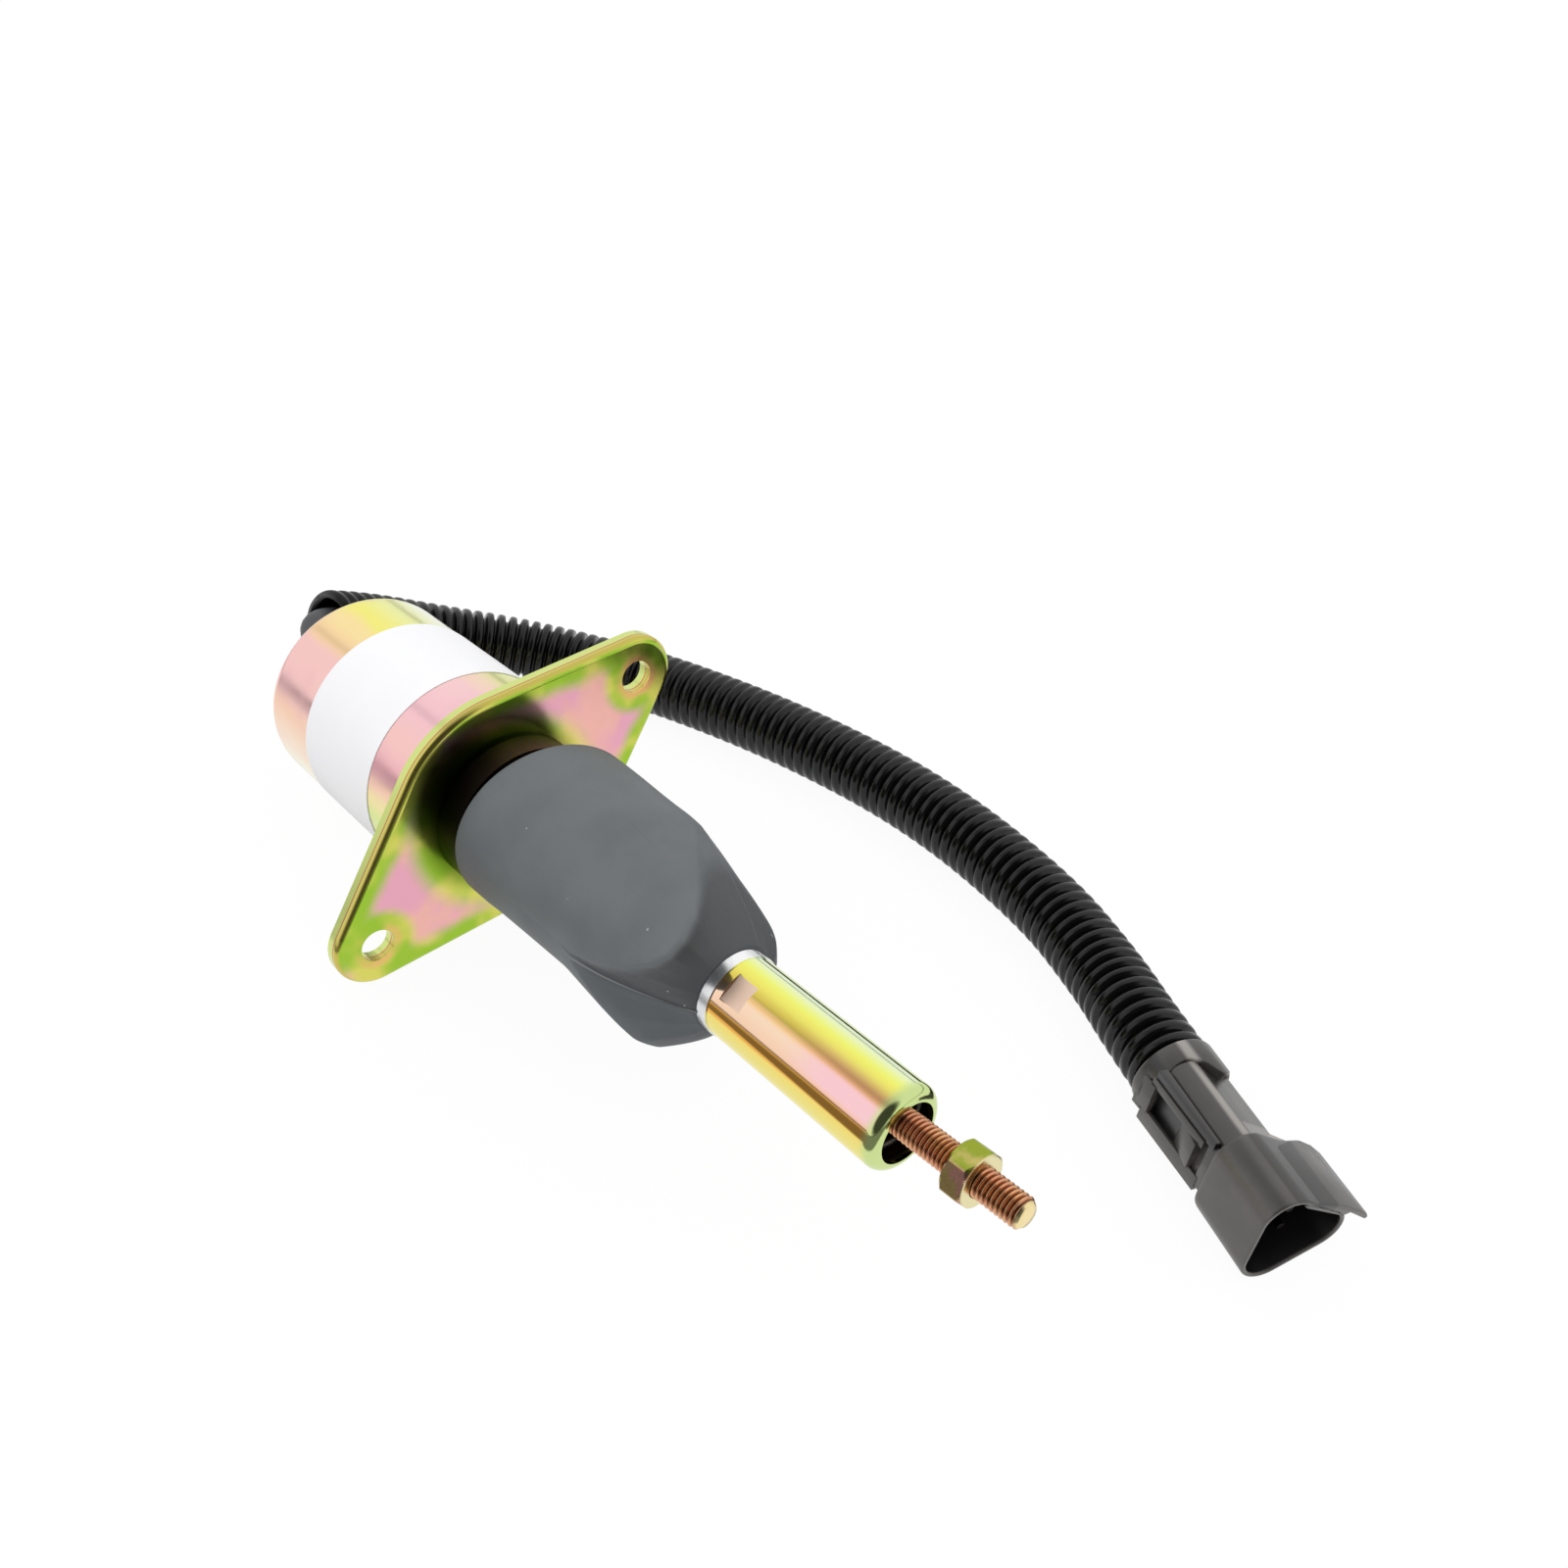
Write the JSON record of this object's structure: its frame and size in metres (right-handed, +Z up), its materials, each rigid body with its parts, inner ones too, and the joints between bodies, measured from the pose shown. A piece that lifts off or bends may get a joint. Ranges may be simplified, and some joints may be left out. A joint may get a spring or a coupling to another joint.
{
  "type": "fuel shutoff solenoid",
  "caption": "Pull solenoid with a drawn can, a two-ear flange, a folded rubber boot, a sprung pull rod in a sleeve, and a conduit lead with a three-sided connector.",
  "frame": {"origin": "centre of the two-hole flange's front face, on the plunger's axis", "axes": "+Z up from the bench the part lies on, +X level and towards the pull rod's tip, +Y towards the conduit"},
  "size_m": [0.2789, 0.1463, 0.0575],
  "materials": {
    "zinc": "yellow chromate over zinc, bright",
    "label": "plain white, semi-gloss",
    "iron": "dark, turned",
    "tube": "smooth, drawn",
    "spool": "moulded nylon",
    "winding": "enamelled copper wire, wound",
    "plunger": "plated, polished",
    "ring": "polished",
    "sleeve": "yellow chromate over zinc, polished",
    "spring": "hard-drawn spring wire",
    "rod": "yellow chromate with a copper tint",
    "nut": "yellow chromate over zinc",
    "boot": "moulded, matt, mid grey",
    "lead": "smooth jacket, dark grey",
    "conduit": "ribbed, black",
    "connector": "moulded, warm dark grey",
    "wedge": "moulded, black",
    "seal": "silicone",
    "contact": "tinned"
  },
  "bodies": {
    "housing": {"housing_can": "zinc", "label_wrap": "label", "flange_plate": "zinc", "pole_plate": "iron", "guide_tube": "tube", "rear_stop": "iron", "coil_bobbin": "spool", "hold_coil": "winding", "pull_coil": "winding", "lead_grommet": "lead", "lead_sheath": "lead", "conduit": "conduit", "connector_collar": "connector", "connector_body": "connector", "wedge_lock": "wedge", "wire_seal": "seal", "lead_wires": "lead", "contact_pins": "contact", "boot": "boot", "return_spring": "spring"},
    "plunger_set": {"plunger": "plunger", "neck_ring": "ring", "override_sleeve": "sleeve", "override_spring": "spring"},
    "rod_set": {"pull_rod": "rod", "jam_nut": "nut"}
  },
  "joints": [
    {"name": "plunger_slide", "type": "slide", "parent": "housing", "child": "plunger_set", "axis": [-0.9986, 0, -0.0521], "range_m": [0, 0.025], "stiffness_N_per_m": 400, "springref_m": -0.01, "deforming": ["boot", "return_spring"]},
    {"name": "rod_override", "type": "slide", "parent": "plunger_set", "child": "rod_set", "axis": [0.994, 0, 0.1095], "range_m": [0, 0.008], "stiffness_N_per_m": 1500, "springref_m": -0.004, "deforming": ["override_spring"]}
  ]
}
